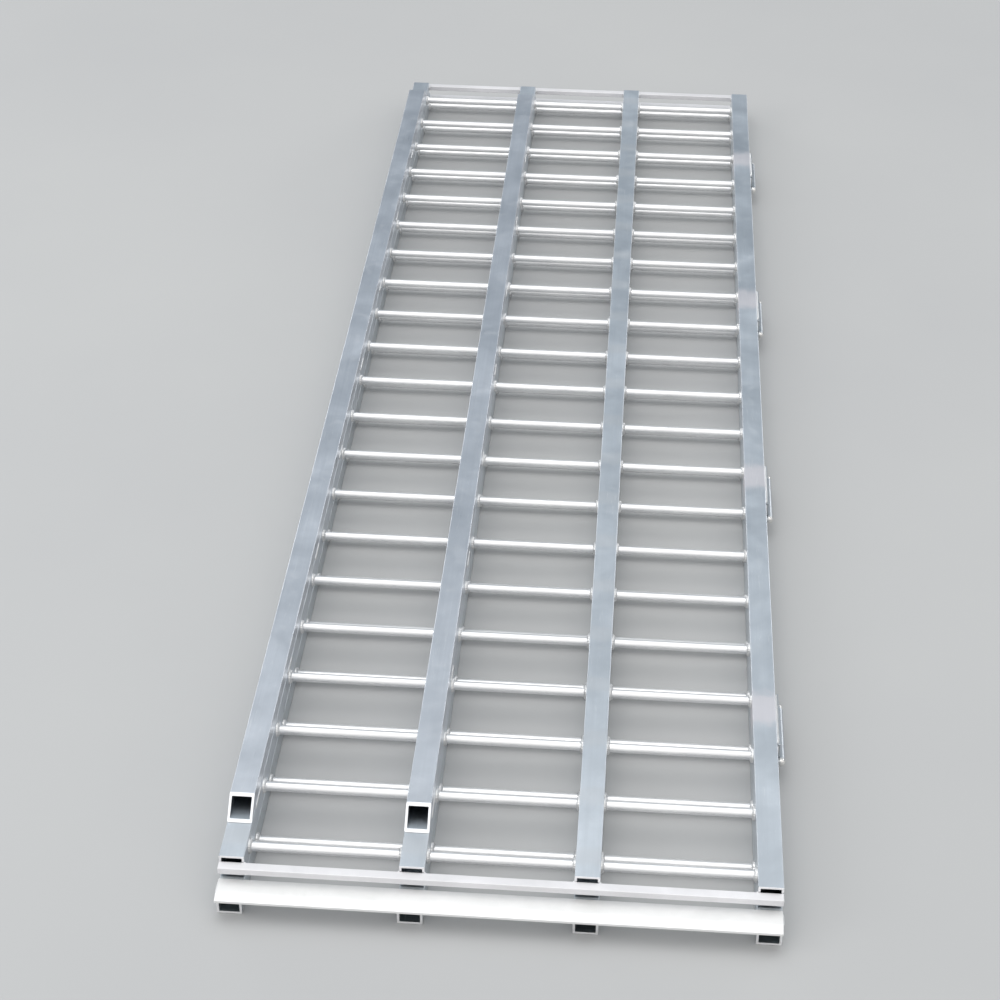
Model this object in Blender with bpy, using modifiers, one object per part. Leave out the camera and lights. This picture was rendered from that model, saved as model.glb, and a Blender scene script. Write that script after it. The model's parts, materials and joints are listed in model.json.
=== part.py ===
"""Folding loading ramp: two welded aluminium ladder panels, hinged along one
long edge so that one panel folds flat on top of the other.

Frame: +X across the ramp towards the hinges, +Y along it away from the lip
plate, +Z up.  The origin is the middle of the folded ramp's footprint, on the
underside of the lower rails.  Lengths are in metres, and the ramp is modelled
folded.  "Near" is the -Y end, "far" the +Y end, "left" -X and "right" +X.

The pieces are laid out from the middle of the panels (X = 0) and the near end
of the lower rails (Y = 0).  The empty they hang on then moves them all, so
that the middle of the whole footprint comes to the origin.
"""

import math

import bmesh
import bpy
from mathutils import Matrix, Vector

# ---------------------------------------------------------------- dimensions
WIDTH = 0.5588            # folded width over the outer rails (22 in)
LENGTH = 1.8288           # lower rails and their end bar (72 in)
RAIL = 0.0254             # square tube, 1 in
WALL = 0.0025             # tube wall
LAYER_GAP = 0.0015        # between the folded panels
FIT = 0.0003              # clearance between touching pieces
UPPER_SETBACK = 0.0254    # upper rails are shorter than the lower at each end
INNER_RAIL_X = 0.0868     # inner rails' centres, either side of the middle

RUNG_DIAMETER = 0.0100
RUNG_SIDES = 12
RUNG_SINK = 0.0010        # how far a lower rung is let into an inner rail's wall
RUNG_PITCH = 0.0855
RUNG_HOLE_GAP = 0.0003    # around a rung where it passes through a rail
RUNG_COUNT = 21           # on each panel
UPPER_RUNG_MARGIN = 0.0280    # first rung behind the upper rails' near end
RUNG_STAGGER = 0.0350     # lower rungs lie this much further along than upper

DOUBLER_HEIGHT = 0.0190
DOUBLER_MARGIN = 0.0460   # its long edge's ends, in from the upper rails' ends
DOUBLER_MITRE = 0.0235    # slope length of its cut ends along Y

LIP_BACK = 0.0185         # lip plate's far edge, on the rails
LIP_FRONT = -0.0095       # its near edge, past the rails' ends
LIP_THICK = 0.0032
LIP_BEND_Y = -0.0010      # where it starts to slope down, clear of the rails
LIP_DROP = 0.0025         # how far the near edge drops

BAR_DEPTH = 0.0100        # end bars, welded across the rails' ends
BAR_HEIGHT = 0.0075
BAR_Z = 0.0112            # their underside above a rail's underside

HINGE_COUNT = 4
HINGE_PITCH = 0.4280
BARREL_RADIUS = 0.0048
BARREL_BORE_RADIUS = 0.0034
BARREL_LENGTH = 0.0800
BARREL_SIDES = 24
END_KNUCKLE = 0.0200      # length of the two outer knuckles
KNUCKLE_GAP = 0.0004
LEAF_THICK = 0.0030
LEAF_INSET = 0.0002       # leaf's back from the barrel's outermost line
LEAF_MARGIN = 0.0030      # leaf's edge from the rail's far edge
LEAF_RELIEF = 0.0058      # how near a leaf's strip comes to the axis
TAB_OVERLAP = 0.0020      # how far a tab runs into its strip

PIN_RADIUS = 0.0030
PIN_CHAMFER = 0.0006
HEAD_RADIUS = 0.0047      # of the pin's head and of the cap
HEAD_HEIGHT = 0.0036
RIM_HEIGHT = 0.0008       # straight edge under a dome
DOME_STEPS = 4
TURN_STEPS = 16           # around the pin and the cap
WASHER_RADIUS = 0.0047
WASHER_THICK = 0.0010
WASHER_SIDES = 20
CAP_HEIGHT = 0.0046       # push-on cap over the pin's far end
CAP_DEPTH = 0.0032        # depth of the cap's hole

# Helper solids and meshing
BORE_OVERRUN = 0.01           # a bore's cutter past each end of its piece
WASHER_BORE_OVERRUN = 0.005
BORE_SIDES = 16               # hinge bores
MITRE_CUTTER_WIDTH = 0.05
MITRE_CUTTER_REACH = 0.06     # above the slope, and along it each way
MERGE_DISTANCE = 0.00001
SHARP_ANGLE = math.radians(35)

# ------------------------------------------------------------ derived values
HALF_WIDTH = WIDTH / 2
UPPER_Z = RAIL + LAYER_GAP            # underside of the folded upper panel
UPPER_TOP = UPPER_Z + RAIL
UPPER_NEAR = UPPER_SETBACK
UPPER_FAR = LENGTH - UPPER_SETBACK
LOWER_FAR = LENGTH - BAR_DEPTH - FIT
OUTER_RAIL_X = HALF_WIDTH - RAIL / 2
RUNG_END = OUTER_RAIL_X - RAIL / 2 - FIT     # just short of the outer rail
FIRST_UPPER_RUNG = UPPER_NEAR + UPPER_RUNG_MARGIN
AXIS = Vector((HALF_WIDTH + FIT + BARREL_RADIUS, LENGTH / 2, RAIL + LAYER_GAP / 2))
FOOTPRINT_MIDDLE = Vector(((-HALF_WIDTH + AXIS.x + BARREL_RADIUS) / 2,
                           (LIP_FRONT + LENGTH) / 2, 0.0))

# ----------------------------------------------------------------- materials
METALLIC = 1.0
FINISHES = {
    "rail": {"colour": (0.62, 0.65, 0.68), "roughness": 0.38},
    "rung": {"colour": (0.78, 0.78, 0.79), "roughness": 0.30},
    "plate": {"colour": (0.80, 0.81, 0.80), "roughness": 0.34},
    "hinge": {"colour": (0.56, 0.58, 0.58), "roughness": 0.42},
    "steel": {"colour": (0.66, 0.65, 0.62), "roughness": 0.30},
}


def add_material(mesh, name, colour, roughness):
    metal = bpy.data.materials.new(name)
    metal.use_nodes = True
    shader = metal.node_tree.nodes["Principled BSDF"]
    shader.inputs["Base Color"].default_value = (*colour, 1.0)
    shader.inputs["Roughness"].default_value = roughness
    shader.inputs["Metallic"].default_value = METALLIC
    metal.diffuse_color = (*colour, 1.0)
    mesh.materials.append(metal)


# --------------------------------------------------------- scene and parents
for old in list(bpy.data.objects):
    bpy.data.objects.remove(old, do_unlink=True)


def collection(name):
    found = bpy.data.collections.get(name)
    if found is None:
        found = bpy.data.collections.new(name)
        bpy.context.scene.collection.children.link(found)
    return found


RAMP = collection("folding_loading_ramp")
CUTTERS = collection("ramp_cutters")


def add_empty(name, display_size):
    empty = bpy.data.objects.new(name, None)
    empty.empty_display_size = display_size
    RAMP.objects.link(empty)
    return empty


# Everything hangs on the base, and the upper panel on a second empty that
# stands on the hinge line.
base = add_empty("ramp_base", display_size=0.1)
fold = add_empty("panel_fold_axis", display_size=0.05)
fold.parent = base
fold.location = AXIS


def hang(part, parent=base):
    """Put a part in the ramp's collection, on the base or the upper panel."""
    RAMP.objects.link(part)
    part.parent = parent
    part.location = part.location - parent.location


def finish(part, finish_name, parent=base):
    """Give a part its own material and hang it on its parent."""
    add_material(part.data, part.name + "_" + finish_name, **FINISHES[finish_name])
    hang(part, parent)


# --------------------------------------------------------------- mesh makers
# Turns that bring a cylinder from Z to lie along X or Y
LIE_ALONG = {"X": Matrix.Rotation(math.pi / 2, 4, "Y"),
             "Y": Matrix.Rotation(math.pi / 2, 4, "X")}


def write_mesh(solid, mesh):
    """Face a bmesh outwards, store it in a mesh and free it."""
    bmesh.ops.recalc_face_normals(solid, faces=solid.faces)
    solid.to_mesh(mesh)
    solid.free()
    return mesh


def box(low, high):
    """Placement of a unit cube that fills the space between two corners."""
    low, high = Vector(low), Vector(high)
    return Matrix.Translation((low + high) / 2) @ Matrix.Diagonal((*(high - low), 1.0))


def box_mesh(name, places):
    """One unit cube for each placement."""
    solid = bmesh.new()
    for place in places:
        bmesh.ops.create_cube(solid, size=1.0, matrix=place)
    return write_mesh(solid, bpy.data.meshes.new(name))


def rod_mesh(name, rods, radius, sides, axis):
    """Closed cylinders along X or Y, each given as (centre, length)."""
    solid = bmesh.new()
    for centre, length in rods:
        bmesh.ops.create_cone(solid, cap_ends=True, segments=sides, radius1=radius,
                              radius2=radius, depth=length,
                              matrix=Matrix.Translation(centre) @ LIE_ALONG[axis])
    return write_mesh(solid, bpy.data.meshes.new(name))


def cutter(mesh):
    """A helper solid, kept out of the ramp's own collection."""
    helper = bpy.data.objects.new(mesh.name, mesh)
    helper.hide_render = True
    helper.display_type = "WIRE"
    helper.parent = base
    CUTTERS.objects.link(helper)
    return helper


def combine(part, helper, operation):
    boolean = part.modifiers.new(helper.name, "BOOLEAN")
    boolean.operation = operation
    boolean.solver = "EXACT"
    boolean.object = helper


def smooth(mesh):
    mesh.shade_smooth()
    mesh.set_sharp_from_angle(angle=SHARP_ANGLE)


def baked(name, source):
    """Remove an object but keep its evaluated mesh."""
    RAMP.objects.link(source)
    bpy.context.view_layer.update()
    mesh = bpy.data.meshes.new_from_object(
        source.evaluated_get(bpy.context.evaluated_depsgraph_get()))
    bpy.data.objects.remove(source, do_unlink=True)
    mesh.name = name
    return mesh


# ----------------------------------------------------------- rails and rungs


def square_tubes(name, centres_x, near, far, underside):
    """Square tubes along Y in one object, open at both ends."""
    def boxes(inset, overrun):
        return [box((x - RAIL / 2 + inset, near - overrun, underside + inset),
                    (x + RAIL / 2 - inset, far + overrun, underside + RAIL - inset))
                for x in centres_x]

    tubes = bpy.data.objects.new(name, box_mesh(name, boxes(0.0, 0.0)))
    bore = cutter(box_mesh(name + "_bore", boxes(WALL, BORE_OVERRUN)))
    combine(tubes, bore, "DIFFERENCE")
    return tubes


def outer_rails(side, x):
    """A lower outer rail and the upper one that lies over it."""
    lower = square_tubes("lower_" + side + "_rail", (x,), 0.0, LOWER_FAR, 0.0)
    finish(lower, "rail")
    upper = square_tubes("upper_" + side + "_rail", (x,), UPPER_NEAR, UPPER_FAR, UPPER_Z)
    finish(upper, "rail", fold)


def lower_ladder(name):
    """The lower panel's inner rails and all its rungs, welded into one frame."""
    frame = square_tubes(name, (-INNER_RAIL_X, INNER_RAIL_X), 0.0, LOWER_FAR, 0.0)
    outer_start = INNER_RAIL_X + RAIL / 2 - RUNG_SINK
    middle_end = INNER_RAIL_X - RAIL / 2 + RUNG_SINK
    spans = ((-RUNG_END, -outer_start), (-middle_end, middle_end),
             (outer_start, RUNG_END))
    first = FIRST_UPPER_RUNG + RUNG_STAGGER
    rods = [(((left + right) / 2, first + i * RUNG_PITCH, RAIL / 2), right - left)
            for i in range(RUNG_COUNT) for left, right in spans]
    rungs = cutter(rod_mesh(name + "_rungs", rods, RUNG_DIAMETER / 2, RUNG_SIDES, "X"))
    combine(frame, rungs, "UNION")
    finish(frame, "rung")


def upper_ladder():
    """Separate inner rails, and rungs that are single rods through both."""
    centres = [(0, FIRST_UPPER_RUNG + i * RUNG_PITCH, UPPER_Z + RAIL / 2)
               for i in range(RUNG_COUNT)]
    drill_length = 2 * INNER_RAIL_X + 2 * RAIL
    holes = cutter(rod_mesh("upper_rung_holes",
                            [(centre, drill_length) for centre in centres],
                            RUNG_DIAMETER / 2 + RUNG_HOLE_GAP, RUNG_SIDES, "X"))
    for side, x in (("left", -INNER_RAIL_X), ("right", INNER_RAIL_X)):
        rail = square_tubes("upper_inner_" + side + "_rail", (x,),
                            UPPER_NEAR, UPPER_FAR, UPPER_Z)
        combine(rail, holes, "DIFFERENCE")
        finish(rail, "rail", fold)

    # The rungs share one mesh and one material.
    rung_mesh = rod_mesh("upper_rung", [((0, 0, 0), 2 * RUNG_END)],
                         RUNG_DIAMETER / 2, RUNG_SIDES, "X")
    smooth(rung_mesh)
    add_material(rung_mesh, "upper_rung_bright", **FINISHES["rung"])
    for number, centre in enumerate(centres, start=1):
        rung = bpy.data.objects.new("upper_rung_%02d" % number, rung_mesh)
        rung.location = centre
        hang(rung, fold)


outer_rails("left", -OUTER_RAIL_X)
outer_rails("right", OUTER_RAIL_X)
lower_ladder("lower_ladder")
upper_ladder()

# ------------------------------------------------------------------ end bars


def end_bar(name, rail_end, outward, underside, parent):
    """Bar across the rails' ends; outward is -1 at the near end, 1 at the far."""
    inner = rail_end + outward * FIT
    near, far = sorted((inner, inner + outward * BAR_DEPTH))
    place = box((-HALF_WIDTH, near, underside + BAR_Z),
                (HALF_WIDTH, far, underside + BAR_Z + BAR_HEIGHT))
    finish(bpy.data.objects.new(name, box_mesh(name, [place])), "plate", parent)


end_bar("upper_near_bar", UPPER_NEAR, -1, UPPER_Z, fold)
end_bar("upper_far_bar", UPPER_FAR, 1, UPPER_Z, fold)
end_bar("lower_far_bar", LOWER_FAR, 1, 0.0, base)

# ------------------------------------------------------------------ doublers


def doubler(name, x):
    """Rectangular tube laid along an upper rail, with both ends mitred."""
    near = UPPER_NEAR + DOUBLER_MARGIN
    far = UPPER_FAR - DOUBLER_MARGIN
    bottom = UPPER_TOP + FIT
    top = bottom + DOUBLER_HEIGHT
    body = box((x - RAIL / 2, near, bottom), (x + RAIL / 2, far, top))
    bore = box((x - RAIL / 2 + WALL, near - BORE_OVERRUN, bottom + WALL),
               (x + RAIL / 2 - WALL, far + BORE_OVERRUN, top - WALL))

    # Each mitre's cutter is a block whose underside lies on the sloping cut.
    slope = math.atan2(DOUBLER_HEIGHT, DOUBLER_MITRE)
    reach = MITRE_CUTTER_REACH
    block = (Matrix.Translation((0, 0, reach / 2))
             @ Matrix.Diagonal((MITRE_CUTTER_WIDTH, 2 * reach, reach, 1.0)))
    mitres = [Matrix.Translation((x, y, bottom)) @ Matrix.Rotation(turn, 4, "X") @ block
              for y, turn in ((near, slope), (far, -slope))]

    tube = bpy.data.objects.new(name, box_mesh(name, [body]))
    combine(tube, cutter(box_mesh(name + "_bore", [bore])), "DIFFERENCE")
    combine(tube, cutter(box_mesh(name + "_mitres", mitres)), "DIFFERENCE")
    finish(tube, "rail", fold)


doubler("doubler_left", -OUTER_RAIL_X)
doubler("doubler_inner", -INNER_RAIL_X)

# ----------------------------------------------------------------- lip plate


def lip_section():
    """Section of the bent plate as (y, z) points, going round once."""
    top = RAIL + FIT + LIP_THICK
    slope = math.atan2(LIP_DROP, LIP_BEND_Y - LIP_FRONT)
    bend_shift = LIP_THICK * math.tan(slope / 2)     # of the bend's underside
    front_top = top - LIP_DROP
    return ((LIP_BACK, top),
            (LIP_BEND_Y, top),
            (LIP_FRONT, front_top),
            (LIP_FRONT + LIP_THICK * math.sin(slope),
             front_top - LIP_THICK * math.cos(slope)),
            (LIP_BEND_Y + bend_shift, top - LIP_THICK),
            (LIP_BACK, top - LIP_THICK))


def lip_plate(name):
    """The section as a filled curve, extruded both ways across the ramp."""
    curve = bpy.data.curves.new(name + "_outline", "CURVE")
    curve.dimensions = "2D"
    curve.fill_mode = "BOTH"
    curve.extrude = HALF_WIDTH
    section = lip_section()
    spline = curve.splines.new("POLY")
    spline.points.add(len(section) - 1)
    for point, (y, z) in zip(spline.points, section):
        point.co = (y, z, 0.0, 1.0)
    spline.use_cyclic_u = True
    mesh = baked(name, bpy.data.objects.new(name + "_outline", curve))

    solid = bmesh.new()
    solid.from_mesh(mesh)
    bmesh.ops.remove_doubles(solid, verts=solid.verts, dist=MERGE_DISTANCE)
    # The curve's own x, y, z become the ramp's y, z, x.
    bmesh.ops.transform(solid, verts=solid.verts, matrix=Matrix(
        ((0, 0, 1, 0), (1, 0, 0, 0), (0, 1, 0, 0), (0, 0, 0, 1))))
    write_mesh(solid, mesh)
    finish(bpy.data.objects.new(name, mesh), "plate")


lip_plate("lip_plate")

# -------------------------------------------------------------------- hinges
# Hinge pieces are drawn about the hinge axis, centred on the hinge's length.
HALF_BARREL = BARREL_LENGTH / 2
WASHER_FACE = HALF_BARREL + FIT                     # washer against the barrel
HEAD_FACE = WASHER_FACE + WASHER_THICK + FIT        # head against the washer
PIN_TAIL = HEAD_FACE + CAP_DEPTH - FIT              # pin's far end, inside the cap

# Knuckles as (near, far) along the barrel
LOWER_KNUCKLES = ((-HALF_BARREL, -HALF_BARREL + END_KNUCKLE),
                  (HALF_BARREL - END_KNUCKLE, HALF_BARREL))
UPPER_KNUCKLES = ((-HALF_BARREL + END_KNUCKLE + KNUCKLE_GAP,
                   HALF_BARREL - END_KNUCKLE - KNUCKLE_GAP),)


def leaf_mesh(name, knuckles, upward):
    """A strip beside the rail, with tabs that run into its knuckles."""
    back = -BARREL_RADIUS + LEAF_INSET
    front = back + LEAF_THICK

    def slab(near, far, start, end):
        """Box of the leaf's thickness, from start to end away from the axis."""
        low, high = (start, end) if upward else (-end, -start)
        return box((back, near, low), (front, far, high))

    reach = RAIL + LAYER_GAP / 2 - LEAF_MARGIN
    strip = slab(-HALF_BARREL, HALF_BARREL, LEAF_RELIEF, reach)
    leaf = bpy.data.objects.new(name, box_mesh(name, [strip]))
    for i, (near, far) in enumerate(knuckles):
        tab = slab(near, far, 0.0, LEAF_RELIEF + TAB_OVERLAP)
        barrel = ((0, (near + far) / 2, 0), far - near)
        combine(leaf, cutter(box_mesh(name + "_tab" + str(i), [tab])), "UNION")
        combine(leaf, cutter(rod_mesh(name + "_barrel" + str(i), [barrel],
                                      BARREL_RADIUS, BARREL_SIDES, "Y")), "UNION")
    bore = ((0, 0, 0), BARREL_LENGTH + 2 * BORE_OVERRUN)
    combine(leaf, cutter(rod_mesh(name + "_bore", [bore], BARREL_BORE_RADIUS,
                                  BORE_SIDES, "Y")), "DIFFERENCE")
    mesh = baked(name, leaf)
    smooth(mesh)
    return mesh


def lathe_mesh(name, profile):
    """Turn (radius, height) points about the hinge axis; height points to -Y."""
    line = bpy.data.meshes.new(name)
    line.from_pydata([(radius, 0.0, height) for radius, height in profile],
                     [(i, i + 1) for i in range(len(profile) - 1)], [])
    source = bpy.data.objects.new(name, line)
    screw = source.modifiers.new("turn", "SCREW")
    screw.angle = 2 * math.pi
    screw.steps = screw.render_steps = TURN_STEPS
    screw.axis = "Z"
    screw.use_merge_vertices = True
    screw.merge_threshold = MERGE_DISTANCE
    mesh = baked(name, source)

    solid = bmesh.new()
    solid.from_mesh(mesh)
    bmesh.ops.rotate(solid, verts=solid.verts, cent=(0, 0, 0),
                     matrix=Matrix.Rotation(math.pi / 2, 3, "X"))
    write_mesh(solid, mesh)
    smooth(mesh)
    return mesh


def dome(face, height):
    """Profile of a domed head: from its tip down to its rim on a flat face."""
    points = [(0.0, face + height)]
    for i in range(1, DOME_STEPS + 1):
        angle = math.pi / 2 * i / DOME_STEPS
        points.append((HEAD_RADIUS * math.sin(angle),
                       face + RIM_HEIGHT + (height - RIM_HEIGHT) * math.cos(angle)))
    return points + [(HEAD_RADIUS, face)]


def pin_mesh(name):
    """Pin with a domed head at its near end and a chamfered tail."""
    return lathe_mesh(name, dome(HEAD_FACE, HEAD_HEIGHT) + [
        (PIN_RADIUS, HEAD_FACE), (PIN_RADIUS, -PIN_TAIL + PIN_CHAMFER),
        (PIN_RADIUS - PIN_CHAMFER, -PIN_TAIL), (0.0, -PIN_TAIL)])


def cap_mesh(name):
    """Domed cap with a blind hole for the pin's tail."""
    return lathe_mesh(name, dome(0.0, CAP_HEIGHT) + [
        (PIN_RADIUS + FIT, 0.0), (PIN_RADIUS + FIT, CAP_DEPTH), (0.0, CAP_DEPTH)])


def washer_mesh(name):
    washer = bpy.data.objects.new(name, rod_mesh(
        name, [((0, 0, 0), WASHER_THICK)], WASHER_RADIUS, WASHER_SIDES, "Y"))
    bore = ((0, 0, 0), WASHER_THICK + 2 * WASHER_BORE_OVERRUN)
    combine(washer, cutter(rod_mesh(name + "_bore", [bore], PIN_RADIUS + FIT,
                                    BORE_SIDES, "Y")), "DIFFERENCE")
    mesh = baked(name, washer)
    smooth(mesh)
    return mesh


def add_hinges():
    """Every hinge is made of the same six pieces, with shared meshes."""
    washer = washer_mesh("hinge_washer")
    washer_shift = WASHER_FACE + WASHER_THICK / 2
    # name, mesh, finish, shift along Y from the hinge's middle, parent
    pieces = (
        ("lower_leaf", leaf_mesh("lower_leaf", LOWER_KNUCKLES, False), "hinge", 0.0, base),
        ("upper_leaf", leaf_mesh("upper_leaf", UPPER_KNUCKLES, True), "hinge", 0.0, fold),
        ("pin", pin_mesh("hinge_pin"), "steel", 0.0, base),
        ("near_washer", washer, "steel", -washer_shift, base),
        ("far_washer", washer, "steel", washer_shift, base),
        ("pin_cap", cap_mesh("hinge_pin_cap"), "steel", HEAD_FACE, base),
    )
    for i in range(HINGE_COUNT):
        middle = AXIS.y + (i - (HINGE_COUNT - 1) / 2) * HINGE_PITCH
        for name, mesh, finish_name, shift, parent in pieces:
            piece = bpy.data.objects.new("hinge_" + str(i + 1) + "_" + name, mesh)
            piece.location = (AXIS.x, middle + shift, AXIS.z)
            if name == "pin_cap":
                piece.rotation_euler.z = math.pi     # its dome faces away from the head
            hang(piece, parent)
            if not mesh.materials:       # a shared mesh gets its material once
                add_material(mesh, mesh.name + "_" + finish_name, **FINISHES[finish_name])


add_hinges()

# The base moves last, because baking needs the cutters about the origin.
base.location = -FOOTPRINT_MIDDLE
bpy.context.view_layer.update()
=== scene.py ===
"""Folding loading ramp, shown folded, in a plain studio.

Two ladder panels run along Y with their rungs along X.  The upper panel lies over
the lower one, and hinges with pins along Y join them at the right (+X) side.  The
lip plate is at the lower panel's near (-Y) end.  Everything is placed from the
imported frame's boxes.  Lengths are in metres and angles in radians.
"""
import json
import math

import bmesh
import bpy
from mathutils import Matrix, Vector


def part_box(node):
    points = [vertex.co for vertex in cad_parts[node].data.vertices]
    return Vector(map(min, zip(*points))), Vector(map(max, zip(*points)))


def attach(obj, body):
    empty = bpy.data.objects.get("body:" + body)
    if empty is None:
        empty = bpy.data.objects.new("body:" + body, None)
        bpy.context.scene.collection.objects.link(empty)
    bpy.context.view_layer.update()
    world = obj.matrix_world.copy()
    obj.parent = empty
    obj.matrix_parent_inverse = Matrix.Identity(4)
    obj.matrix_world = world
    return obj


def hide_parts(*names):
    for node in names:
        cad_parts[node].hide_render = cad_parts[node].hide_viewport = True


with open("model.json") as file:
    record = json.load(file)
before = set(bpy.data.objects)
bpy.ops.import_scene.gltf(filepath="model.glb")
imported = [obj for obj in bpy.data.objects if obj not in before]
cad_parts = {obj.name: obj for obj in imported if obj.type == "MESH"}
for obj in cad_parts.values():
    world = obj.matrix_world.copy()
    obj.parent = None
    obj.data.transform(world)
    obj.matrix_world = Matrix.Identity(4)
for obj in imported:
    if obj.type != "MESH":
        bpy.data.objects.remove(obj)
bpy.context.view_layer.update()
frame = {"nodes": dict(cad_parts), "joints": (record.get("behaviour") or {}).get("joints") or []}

scene = bpy.context.scene

# ------------------------------------------------------------------ settings
WALL = 0.0025             # tube wall
CORNER = 0.0011           # outer corner radius of the extruded tubes
BORE_CORNER = 0.0005      # inner corner radius
CUT_EDGE = 0.00022        # dressed edge where a tube is sawn
FIT = 0.0003              # clearance round the pins
WELD_LEG = 0.0030         # fillet round a rung
RIPPLE_PITCH = 0.0021     # along a straight weld
LOWER, UPPER = "lower_panel", "upper_panel"
X_AXIS, Y_AXIS = Vector((1, 0, 0)), Vector((0, 1, 0))


# ------------------------------------------------------- places in the frame
def box_middle(name, axis):
    low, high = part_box(name)
    return (getattr(low, axis) + getattr(high, axis)) / 2


def hinge_y(i):
    return box_middle("hinge_%d_lower_leaf" % i, "y")


left_low, left_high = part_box("lower_left_rail")
right_low, right_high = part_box("lower_right_rail")
upper_low, upper_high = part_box("upper_left_rail")
RAIL = left_high.x - left_low.x
MID_X = (left_low.x + right_high.x) / 2
LOW_Y, LOW_Z = (left_low.y, left_high.y), (left_low.z, left_high.z)
UP_Y, UP_Z = (upper_low.y, upper_high.y), (upper_low.z, upper_high.z)
OUTER_L = box_middle("lower_left_rail", "x")
OUTER_R = box_middle("lower_right_rail", "x")
INNER_L = box_middle("upper_inner_left_rail", "x")
INNER_R = box_middle("upper_inner_right_rail", "x")
RAIL_XS = (OUTER_L, INNER_L, INNER_R, OUTER_R)
# rail walls that the rungs and bars meet: (x, way out of the wall)
RAIL_WALLS = ((OUTER_L + RAIL / 2, 1), (INNER_L - RAIL / 2, -1), (INNER_L + RAIL / 2, 1),
              (INNER_R - RAIL / 2, -1), (INNER_R + RAIL / 2, 1), (OUTER_R - RAIL / 2, -1))

rung_low, rung_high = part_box("upper_rung_01")
RUNG_R = (rung_high.y - rung_low.y) / 2
RUNG_REACH = OUTER_R - RAIL / 2 - MID_X + 0.0010   # each way, a little into the rails
RUNGS = len([name for name in frame["nodes"] if name.startswith("upper_rung_")])
UP_FIRST = box_middle("upper_rung_01", "y")
PITCH = box_middle("upper_rung_02", "y") - UP_FIRST
LOW_FIRST = UP_FIRST + 0.035                       # the lower rungs are staggered
UP_RUNG_Z = (UP_Z[0] + UP_Z[1]) / 2
LOW_RUNG_Z = (LOW_Z[0] + LOW_Z[1]) / 2

JOINT = Vector(frame["joints"][0]["pos_m"])
HINGES = sorted(int(name.split("_")[1]) for name in frame["nodes"]
                if name.startswith("hinge_") and name.endswith("_pin"))


# ------------------------------------------------------------------ materials
class ShaderTree:
    """Short calls for building a node tree; most give back an output socket."""

    def __init__(self, tree):
        self.tree = tree

    def put(self, socket, value):
        if isinstance(value, bpy.types.NodeSocket):
            self.tree.links.new(value, socket)
        else:
            socket.default_value = value

    def new(self, kind, inputs=None, **settings):
        node = self.tree.nodes.new(kind)
        for key, value in settings.items():
            setattr(node, key, value)
        for key, value in (inputs or {}).items():
            self.put(node.inputs[key], value)
        return node

    def math(self, operation, first, second=0.0):
        inputs = {0: first, 1: second, 2: 0.0}
        return self.new("ShaderNodeMath", inputs, operation=operation).outputs[0]

    def add(self, first, second):
        return self.math("ADD", first, second)

    def minus(self, first, second):
        return self.math("SUBTRACT", first, second)

    def times(self, first, second):
        return self.math("MULTIPLY", first, second)

    def remap(self, value, span, to=(0.0, 1.0), smooth=False):
        """Carry span's range to another, held at both ends."""
        inputs = dict(enumerate((value, *span, *to)))
        kind = "SMOOTHSTEP" if smooth else "LINEAR"
        return self.new("ShaderNodeMapRange", inputs, clamp=True,
                        interpolation_type=kind).outputs[0]

    def mix(self, factor, first, second):
        inputs = {0: factor}
        for index, colour in ((6, first), (7, second)):
            fixed = not isinstance(colour, bpy.types.NodeSocket)
            inputs[index] = (*colour, 1.0) if fixed else colour
        return self.new("ShaderNodeMix", inputs, data_type="RGBA").outputs[2]

    def noise(self, vector, scale=1.0, detail=4.0, rough=0.55, distort=0.0):
        inputs = {"Vector": vector, "Scale": scale, "Detail": detail,
                  "Roughness": rough, "Distortion": distort}
        return self.new("ShaderNodeTexNoise", inputs).outputs[0]

    def stretch(self, vector, scale, turn=(0.0, 0.0, 0.0), shift=(0.0, 0.0, 0.0)):
        inputs = {"Vector": vector, "Location": shift, "Rotation": turn, "Scale": scale}
        return self.new("ShaderNodeMapping", inputs).outputs[0]

    def coordinate(self, kind):
        return self.new("ShaderNodeTexCoord").outputs[kind]

    def part(self, vector, axis):
        return self.new("ShaderNodeSeparateXYZ", {0: vector}).outputs[axis]


def tint(colour, factors, limit=1.0):
    return tuple(min(part * factor, limit) for part, factor in zip(colour, factors))


def grained(grain, across, along):
    """Noise scales that draw a pattern out along the grain's axis."""
    return [along if axis == grain else across for axis in "XYZ"]


def piece_place(tree, coords, random):
    """Object coordinates, shifted so that no two pieces match."""
    shift = tree.new("ShaderNodeCombineXYZ",
                     {k: tree.times(random, 3.1 + 2.3 * k) for k in range(3)}).outputs[0]
    return tree.new("ShaderNodeVectorMath", {0: coords, 1: shift}, operation="ADD").outputs[0]


def hairlines(tree, place, grain):
    """Patches of hairline scratches, at two slants to the grain."""
    found = None
    for turn, seed in ((0.42, 3.0), (-0.27, 9.0)):
        slanted = tree.stretch(place, grained(grain, across=210.0, along=10.0),
                               turn=(0.0, turn * 0.6, turn), shift=(seed, seed, seed))
        lines = tree.noise(slanted, detail=2.0, rough=0.5)
        # only where the noise crosses its middle value
        thin = tree.math("ABSOLUTE", tree.minus(lines, 0.5))
        thin = tree.remap(thin, span=(0.0, 0.011), to=(1.0, 0.0))
        area = tree.stretch(place, (14.0, 14.0, 14.0), shift=(seed, 0.0, seed))
        patches = tree.remap(tree.noise(area, detail=2.0), span=(0.52, 0.64))
        thin = tree.times(thin, patches)
        found = thin if found is None else tree.math("MAXIMUM", found, thin)
    return found


def edge_highlight_and_wear(tree):
    """Where a rounded normal leans away from the true one: worn edges, which also get a painted
    highlight.
    """
    rounded = tree.new("ShaderNodeBevel", {"Radius": 0.0018}, samples=2).outputs[0]
    true = tree.new("ShaderNodeNewGeometry").outputs["Normal"]
    dot = tree.new("ShaderNodeVectorMath", {0: rounded, 1: true}, operation="DOT_PRODUCT")
    return tree.remap(dot.outputs["Value"], span=(0.99, 0.80))


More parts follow.
